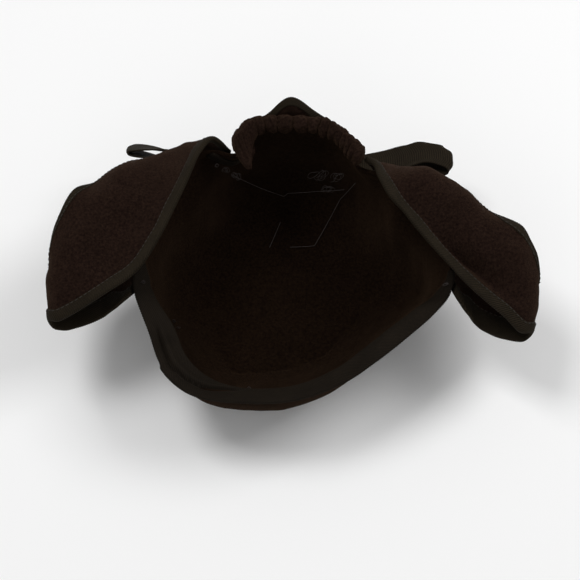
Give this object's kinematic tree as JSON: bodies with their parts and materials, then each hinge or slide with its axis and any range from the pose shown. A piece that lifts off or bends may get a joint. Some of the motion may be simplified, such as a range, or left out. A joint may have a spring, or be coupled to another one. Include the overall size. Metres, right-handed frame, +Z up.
{
  "type": "calot hat",
  "caption": "Soft felt calot lying on its crown, opening up, with looped side wings, a ruched roll with a small peak, ribbon-bound edges and a flat ribbon bow.",
  "frame": {"origin": "middle of the box, on the surface that the pressed crown rests on", "axes": "+X to the right wing, +Y to the peak, roll and bow, +Z up out of the head opening"},
  "size_m": [0.2722, 0.1748, 0.0917],
  "materials": {
    "felt": "napped wool felt",
    "ribbon": "ribbed grosgrain"
  },
  "bodies": {
    "root": {"crown": "felt", "crown_binding": "ribbon", "wing_left": "felt", "wing_right": "felt", "wing_left_front_binding": "ribbon", "wing_right_front_binding": "ribbon", "wing_left_rear_binding": "ribbon", "wing_right_rear_binding": "ribbon", "gathered_roll": "felt", "peak": "felt", "peak_binding": "ribbon", "bow_loop_left": "ribbon", "bow_loop_right": "ribbon", "bow_knot": "ribbon"}
  },
  "joints": []
}
